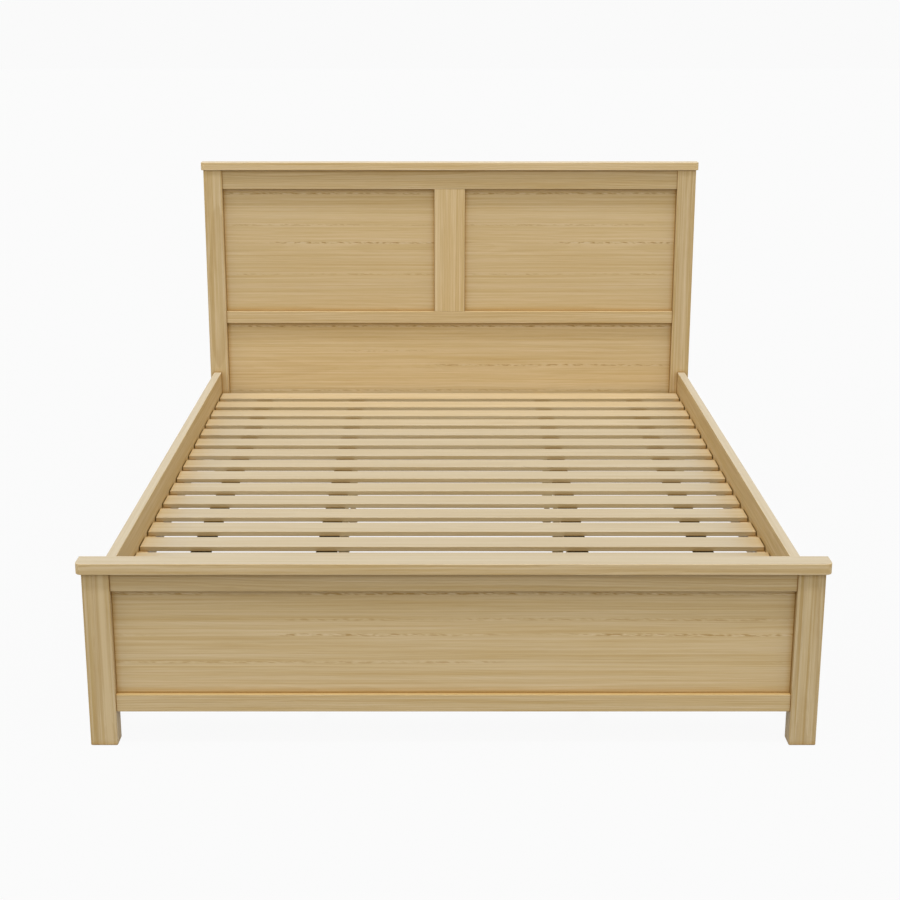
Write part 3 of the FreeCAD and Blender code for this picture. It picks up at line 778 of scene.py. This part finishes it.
def make_strap(node, slats, material):
    """One webbing strap, tight under the slats and a little bowed between them."""
    low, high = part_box(node)
    middle = (low.x + high.x) / 2
    half_width = (high.x - low.x) / 2
    draw = random.Random("weave of " + node)
    phase = draw.uniform(0.0, 6.0)
    count = round((high.y - low.y) / STRAP_STEP)
    rings = []
    for index in range(count + 1):
        y = low.y + (high.y - low.y) * index / count
        bow = STRAP_BOW * strap_bow(y, slats)
        wander = STRAP_WANDER * math.sin(STRAP_WAVES * y + phase)
        rings.append(strap_section(middle + wander, half_width, low.z + bow, high.z + bow, y))
    bm = bmesh.new()
    sweep(bm, rings)
    new_piece("webbing_" + node, finish_mesh(bm, node, smooth=False), "bed", "black_webbing",
              material, node)
    return middle, low.z


def staple_rings(x, y, z):
    """The flat wire of one staple as rings: up a leg, along the crown and up the other leg."""
    half = STAPLE_CROWN / 2
    path = [(-half, STAPLE_LEG, 0.0)]
    for side in (-1, 1):
        for turn in BEND_TURNS if side < 0 else BEND_TURNS[::-1]:
            angle = math.radians(turn)
            path.append((side * (half - STAPLE_BEND * (1 - math.cos(angle))),
                         STAPLE_BEND * (1 - math.sin(angle)), side * turn))
    path.append((half, STAPLE_LEG, 0.0))
    wide, thin = STAPLE_WIRE[0] / 2, STAPLE_WIRE[1] / 2
    rings = []
    for px, pz, turn in path:
        lean = math.radians(turn if px < 0 else -turn)
        out_x = -math.cos(lean) if px < 0 else math.cos(lean)
        out_z = -math.sin(abs(lean))
        rings.append([Vector((x + px + out_x * thin * s, y + w, z + pz + out_z * thin * s))
                      for w, s in ((-wide, -1), (wide, -1), (wide, 1), (-wide, 1))])
    return rings


def make_staples(name, places, material):
    """All the staples of one strap."""
    bm = bmesh.new()
    for x, y, z in places:
        sweep(bm, staple_rings(x, y, z))
    new_piece(name, finish_mesh(bm, name, smooth=False), "bed", "zinc_plated_steel", material)


def make_straps(webbing, steel):
    """The four straps, with two staples into each slat."""
    slats = slat_places()
    stray_x, stray_y = STAPLE_STRAY
    for node in nodes_named("strap_"):
        middle, bottom = make_strap(node, slats, webbing)
        draw = random.Random("staples of " + node)
        places = []
        for front, back in slats:
            for side in (-0.5, 0.5):
                places.append((middle + side * STAPLE_SPACING + draw.uniform(-stray_x, stray_x) * MM,
                               (front + back) / 2 + draw.uniform(-stray_y, stray_y) * MM,
                               bottom + STAPLE_SUNK))
        make_staples("staples_" + node, places, steel)


# ---- Levelling feet -----------------------------------------------------------------------

FOOT_SIDES = 36
FOOT_ANGLES = [2 * math.pi * index / FOOT_SIDES for index in range(FOOT_SIDES)]
PAD_HEIGHT = 8.0 * MM
PAD_RADIUS = 16.0 * MM
PAD_RIBS = 18
PAD_RIB_DEPTH = 0.5 * MM
PAD_ROUND = 1.5 * MM
ROUND_TURNS = (30.0, 60.0, 90.0)    # degrees round the pad's lower and upper edge
COLLAR_RADIUS = 11.5 * MM
COLLAR_TOP = 12.0 * MM
STEM_RADIUS = 9.0 * MM
THREAD_PITCH = 3.0 * MM
THREAD_DEPTH = 0.9 * MM
THREAD_STEP = 0.5 * MM
SHARP_ANGLE = 40.0                  # degrees


def foot_ring(low, high, z, radii):
    """A ring of points round the axis of a foot's box, at one height above its floor."""
    x, y = (low.x + high.x) / 2, (low.y + high.y) / 2
    return [(x + radius * math.cos(angle), y + radius * math.sin(angle), low.z + z)
            for radius, angle in zip(radii, FOOT_ANGLES)]


def pad_profile():
    """The pad and its collar as radius, height and rib depth."""
    rows = [(PAD_RADIUS - PAD_ROUND, 0.0, 0.0)]
    for turn in ROUND_TURNS:
        angle = math.radians(turn)
        rows.append((PAD_RADIUS - PAD_ROUND * (1 - math.sin(angle)),
                     PAD_ROUND * (1 - math.cos(angle)), PAD_RIB_DEPTH * (turn == 90.0)))
    rows.append((PAD_RADIUS, PAD_HEIGHT - PAD_ROUND, PAD_RIB_DEPTH))
    for turn in ROUND_TURNS:
        angle = math.radians(turn)
        rows.append((PAD_RADIUS - PAD_ROUND * (1 - math.cos(angle)),
                     PAD_HEIGHT - PAD_ROUND * (1 - math.sin(angle)), 0.0))
    rows.append((COLLAR_RADIUS + MM, PAD_HEIGHT, 0.0))
    rows.append((COLLAR_RADIUS, PAD_HEIGHT + MM, 0.0))
    rows.append((COLLAR_RADIUS, COLLAR_TOP - MM, 0.0))
    rows.append((COLLAR_RADIUS - MM, COLLAR_TOP, 0.0))
    return rows


def ribbed(radius, rib, angle):
    """The pad's radius at one angle."""
    return radius - rib * (0.5 - 0.5 * math.cos(PAD_RIBS * angle))


def threaded(z, share):
    """The stem's radius at one height and share of a turn."""
    turn = (z / THREAD_PITCH - share) % 1.0
    return STEM_RADIUS - THREAD_DEPTH * abs(2 * turn - 1)


def make_levelling_foot(node, material):
    """One levelling foot: a ribbed pad, a collar and a threaded stem."""
    low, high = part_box(node)
    rings = []
    for radius, z, rib in pad_profile():
        rings.append(foot_ring(low, high, z, [ribbed(radius, rib, angle) for angle in FOOT_ANGLES]))
    count = round((high.z - low.z - COLLAR_TOP) / THREAD_STEP)
    for step in range(count + 1):
        z = COLLAR_TOP + (high.z - low.z - COLLAR_TOP) * step / count
        rings.append(foot_ring(low, high, z, [threaded(z, index / FOOT_SIDES)
                                              for index in range(FOOT_SIDES)]))
    bm = bmesh.new()
    sweep(bm, rings)
    mesh = finish_mesh(bm, node)
    mesh.set_sharp_from_angle(angle=math.radians(SHARP_ANGLE))
    new_piece("threaded_" + node, mesh, node, "tan_nylon", material, node)


# ---- Screws -------------------------------------------------------------------------------

SCREW_SIDES = 20
SHANK_RADIUS = 2.0 * MM
HEAD_HEIGHT = 2.2 * MM
SCREW_POINT = 4 * MM
RECESS_ARM = 2.1 * MM
RECESS_WIDTH = 0.75 * MM
RECESS_DEPTH = 1.5 * MM
RECESS_TAPER = (0.45, 0.6)          # the recess's floor against its mouth: arm and width
END_SLICE = 0.1 * MM                # points this near an end belong to it


def recess_outline(arm, width, z):
    """A cross in a screw's head."""
    half = width / 2
    corner = [(arm, -half), (arm, half), (half, half)]
    points = []
    for quarter in range(4):
        turn = Matrix.Rotation(quarter * math.pi / 2, 2)
        points += [turn @ Vector(point) for point in corner]
    return [Vector((point.x, point.y, z)) for point in points]


def add_screw(bm, place, head_radius, length):
    """One countersunk screw with a cross recess; it points along the place's +Z."""
    def circle(radius, z):
        return [place @ Vector((radius * math.cos(2 * math.pi * i / SCREW_SIDES),
                                radius * math.sin(2 * math.pi * i / SCREW_SIDES), z))
                for i in range(SCREW_SIDES)]

    head = sweep(bm, [circle(head_radius, 0.0), circle(SHANK_RADIUS, HEAD_HEIGHT),
                      circle(SHANK_RADIUS, length - SCREW_POINT), circle(SHANK_RADIUS / 4, length)],
                 open_start=True)[0]
    arm_taper, width_taper = RECESS_TAPER
    mouth = [bm.verts.new(place @ point) for point in recess_outline(RECESS_ARM, RECESS_WIDTH, 0.0)]
    floor = [bm.verts.new(place @ point)
             for point in recess_outline(arm_taper * RECESS_ARM, width_taper * RECESS_WIDTH,
                                         RECESS_DEPTH)]
    count = len(mouth)
    for index in range(count):
        after = (index + 1) % count
        bm.faces.new((mouth[index], mouth[after], floor[after], floor[index]))
    bm.faces.new(floor)
    rim = [bm.edges.get((head[i], head[(i + 1) % SCREW_SIDES])) for i in range(SCREW_SIDES)]
    rim += [bm.edges.get((mouth[i], mouth[(i + 1) % count])) for i in range(count)]
    bmesh.ops.triangle_fill(bm, use_beauty=True, use_dissolve=False, edges=rim)


def screw_place(points):
    """Where a screw's head is and which way it points, with its sizes."""
    low = Vector([min(point[axis] for point in points) for axis in range(3)])
    high = Vector([max(point[axis] for point in points) for axis in range(3)])
    size = high - low
    axis = max(range(3), key=lambda index: size[index])
    others = [index for index in range(3) if index != axis]
    centre = (low + high) / 2

    def reach(end):
        near = [point for point in points if abs(point[axis] - end[axis]) < END_SLICE]
        return max(abs(point[others[0]] - centre[others[0]]) for point in near)

    head_low = reach(low) > reach(high)
    direction = Vector((0, 0, 0))
    direction[axis] = 1.0 if head_low else -1.0
    head = centre.copy()
    head[axis] = low[axis] if head_low else high[axis]
    turn = Vector((0, 0, 1)).rotation_difference(direction).to_matrix().to_4x4()
    return Matrix.Translation(head) @ turn, reach(low if head_low else high), size[axis]


def make_screws(material):
    """All the wood screws, each in its place."""
    bm = bmesh.new()
    for points in loose_parts(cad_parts["wood_screws"]):
        place, head_radius, length = screw_place(points)
        add_screw(bm, place, head_radius, length)
    mesh = finish_mesh(bm, "countersunk_screws", smooth=False)
    new_piece("countersunk_screws", mesh, "bed", "zinc_plated_steel", material, "wood_screws")


# ---- Studio -------------------------------------------------------------------------------

def seen_share(tree):
    """1 where the camera looks straight at a surface, or sees it in a gloss or through glass."""
    light_path = tree.nodes.new("ShaderNodeLightPath").outputs
    share = maths(tree, "ADD", light_path["Is Camera Ray"], light_path["Is Glossy Ray"])
    return maths(tree, "ADD", share, light_path["Is Transmission Ray"], clamp=True)


def make_world():
    """Soft light from all sides, strongest near the floor, behind a white backdrop."""
    world = bpy.data.worlds.new("studio")
    bpy.context.scene.world = world
    world.use_nodes = True
    tree = world.node_tree
    background = tree.nodes["Background"]
    seen = seen_share(tree)
    tree.links.new(blend_colours(tree, seen, SKY_TINT, WHITE), background.inputs["Color"])
    upwards = split(tree, tree.nodes.new("ShaderNodeTexCoord").outputs["Generated"])[2]
    low = maths(tree, "SUBTRACT", 1.0, upwards, clamp=True)
    light = maths(tree, "MULTIPLY", low, SKY_HORIZON)
    level = remap(tree, seen, 0.0, 1.0, light, BACKDROP_WHITE, smooth=False)
    tree.links.new(level, background.inputs["Strength"])


def make_floor():
    """A plain pale floor that keeps a faint shadow."""
    mesh = bpy.data.meshes.new("floor")
    half = FLOOR_SIZE / 2
    mesh.from_pydata([(-half, -half, 0), (half, -half, 0), (half, half, 0), (-half, half, 0)], [],
                     [(0, 1, 2, 3)])
    floor = bpy.data.objects.new("floor", mesh)
    bpy.context.scene.collection.objects.link(floor)
    material, tree, shader = new_material("floor")
    seen = seen_share(tree)
    tree.links.new(blend_colours(tree, seen, FLOOR_BOUNCE, FLOOR_WHITE), shader.inputs["Base Color"])
    shader.inputs["Roughness"].default_value = FLOOR_ROUGHNESS
    shader.inputs["Specular IOR Level"].default_value = MATTE
    glow = tree.nodes.new("ShaderNodeEmission")
    glow.inputs["Color"].default_value = WHITE
    glow.inputs["Strength"].default_value = BACKDROP_WHITE
    mixer = tree.nodes.new("ShaderNodeMixShader")
    factor = maths(tree, "MULTIPLY", seen, 1.0 - FLOOR_SHADOW_SHARE)
    tree.links.new(factor, mixer.inputs[0])
    tree.links.new(shader.outputs[0], mixer.inputs[1])
    tree.links.new(glow.outputs[0], mixer.inputs[2])
    tree.links.new(mixer.outputs[0], tree.nodes["Material Output"].inputs["Surface"])
    mesh.materials.append(material)


def make_lamp(name, level, height, width, tint, turn):
    """A soft far lamp in front of the bed's foot end, or turned towards one side of it."""
    light = bpy.data.lights.new(name, "SUN")
    light.energy = level * math.pi
    light.color = tint
    light.angle = math.radians(width)
    lamp = bpy.data.objects.new(name, light)
    lamp.rotation_euler = (math.radians(90.0 - height), 0.0, math.radians(turn))
    bpy.context.scene.collection.objects.link(lamp)


def make_camera():
    """The camera of the photograph."""
    camera = bpy.data.cameras.new("camera")
    camera.sensor_width = SENSOR_WIDTH
    camera.lens = FOCAL_LENGTH_PX * SENSOR_WIDTH / FRAME_PX
    camera.shift_x = (FRAME_PX / 2 - PRINCIPAL_POINT_PX[0]) / FRAME_PX
    camera.shift_y = (PRINCIPAL_POINT_PX[1] - FRAME_PX / 2) / FRAME_PX
    camera.clip_end = 2 * FLOOR_SIZE
    obj = bpy.data.objects.new("camera", camera)
    obj.location = CAMERA_PLACE
    obj.rotation_euler = (math.radians(90.0 - CAMERA_TILT_DOWN), 0.0, 0.0)
    bpy.context.scene.collection.objects.link(obj)
    bpy.context.scene.camera = obj
    bpy.context.scene.view_settings.view_transform = "Standard"


# ---- The whole scene ----------------------------------------------------------------------

webbing = webbing_material()
steel = mottled_material("zinc_plated_steel", ZINC, ZINC_DULL, smooth=0.25, rough=0.45,
                         metallic=1.0, height=0.02 * MM)
nylon = mottled_material("tan_nylon", NYLON_TAN, NYLON_DARK, smooth=0.42, rough=0.58,
                         metallic=0.0, height=0.05 * MM)

dress_all_timber()
for plated in ("leg_bushes", "rail_hook_plates", "post_slot_plates"):
    dress(plated, steel)
make_straps(webbing, steel)
for foot in nodes_named("levelling_foot_"):
    make_levelling_foot(foot, nylon)
make_screws(steel)

make_world()
make_floor()
for lamp in LAMPS:
    make_lamp(*lamp)
make_camera()
